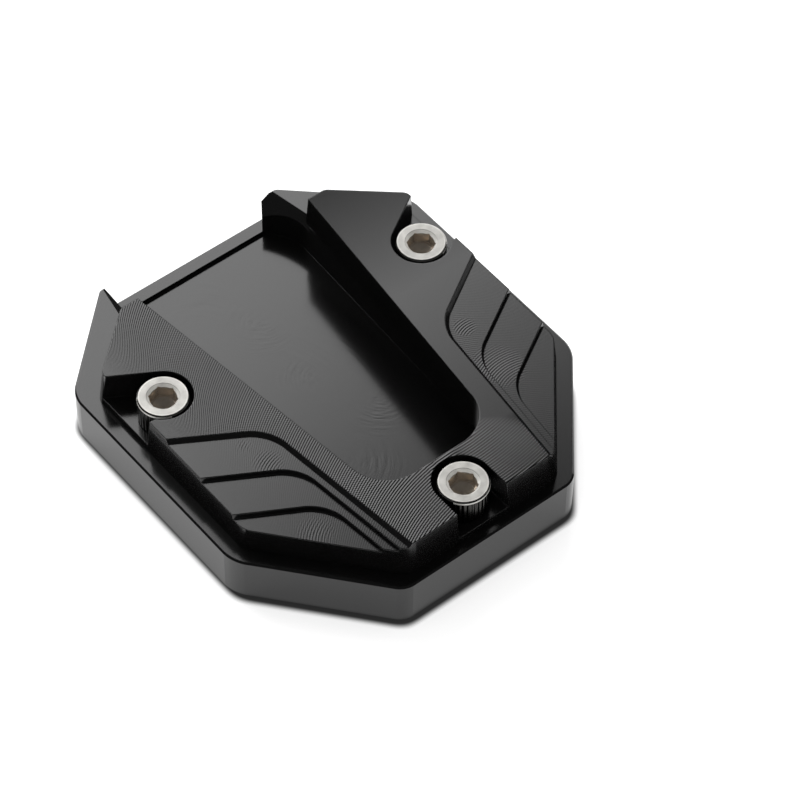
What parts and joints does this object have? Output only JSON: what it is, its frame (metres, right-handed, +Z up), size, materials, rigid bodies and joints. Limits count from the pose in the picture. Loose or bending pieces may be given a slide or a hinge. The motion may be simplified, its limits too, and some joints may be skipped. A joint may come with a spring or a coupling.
{
  "type": "side stand foot pad",
  "caption": "Clamp-on pad that widens the foot of a motorbike side stand: a pocketed base plate, a slotted and stepped top plate, and hex-socket cap screws.",
  "frame": {"origin": "middle of the sole: the bottom centre of the bounding box", "axes": "+Z up out of the sole, +Y towards the open end that the stand's foot slides in by, +X across the pad to the right when looking along +Y"},
  "size_m": [0.082, 0.0928, 0.0187],
  "materials": {
    "base_black": "black anodised, satin",
    "top_black": "black anodised, satin, fine milling lines",
    "screw_steel": "bright"
  },
  "bodies": {
    "root": {"base_plate": "base_black", "top_plate": "top_black", "screws": "screw_steel"}
  },
  "joints": []
}
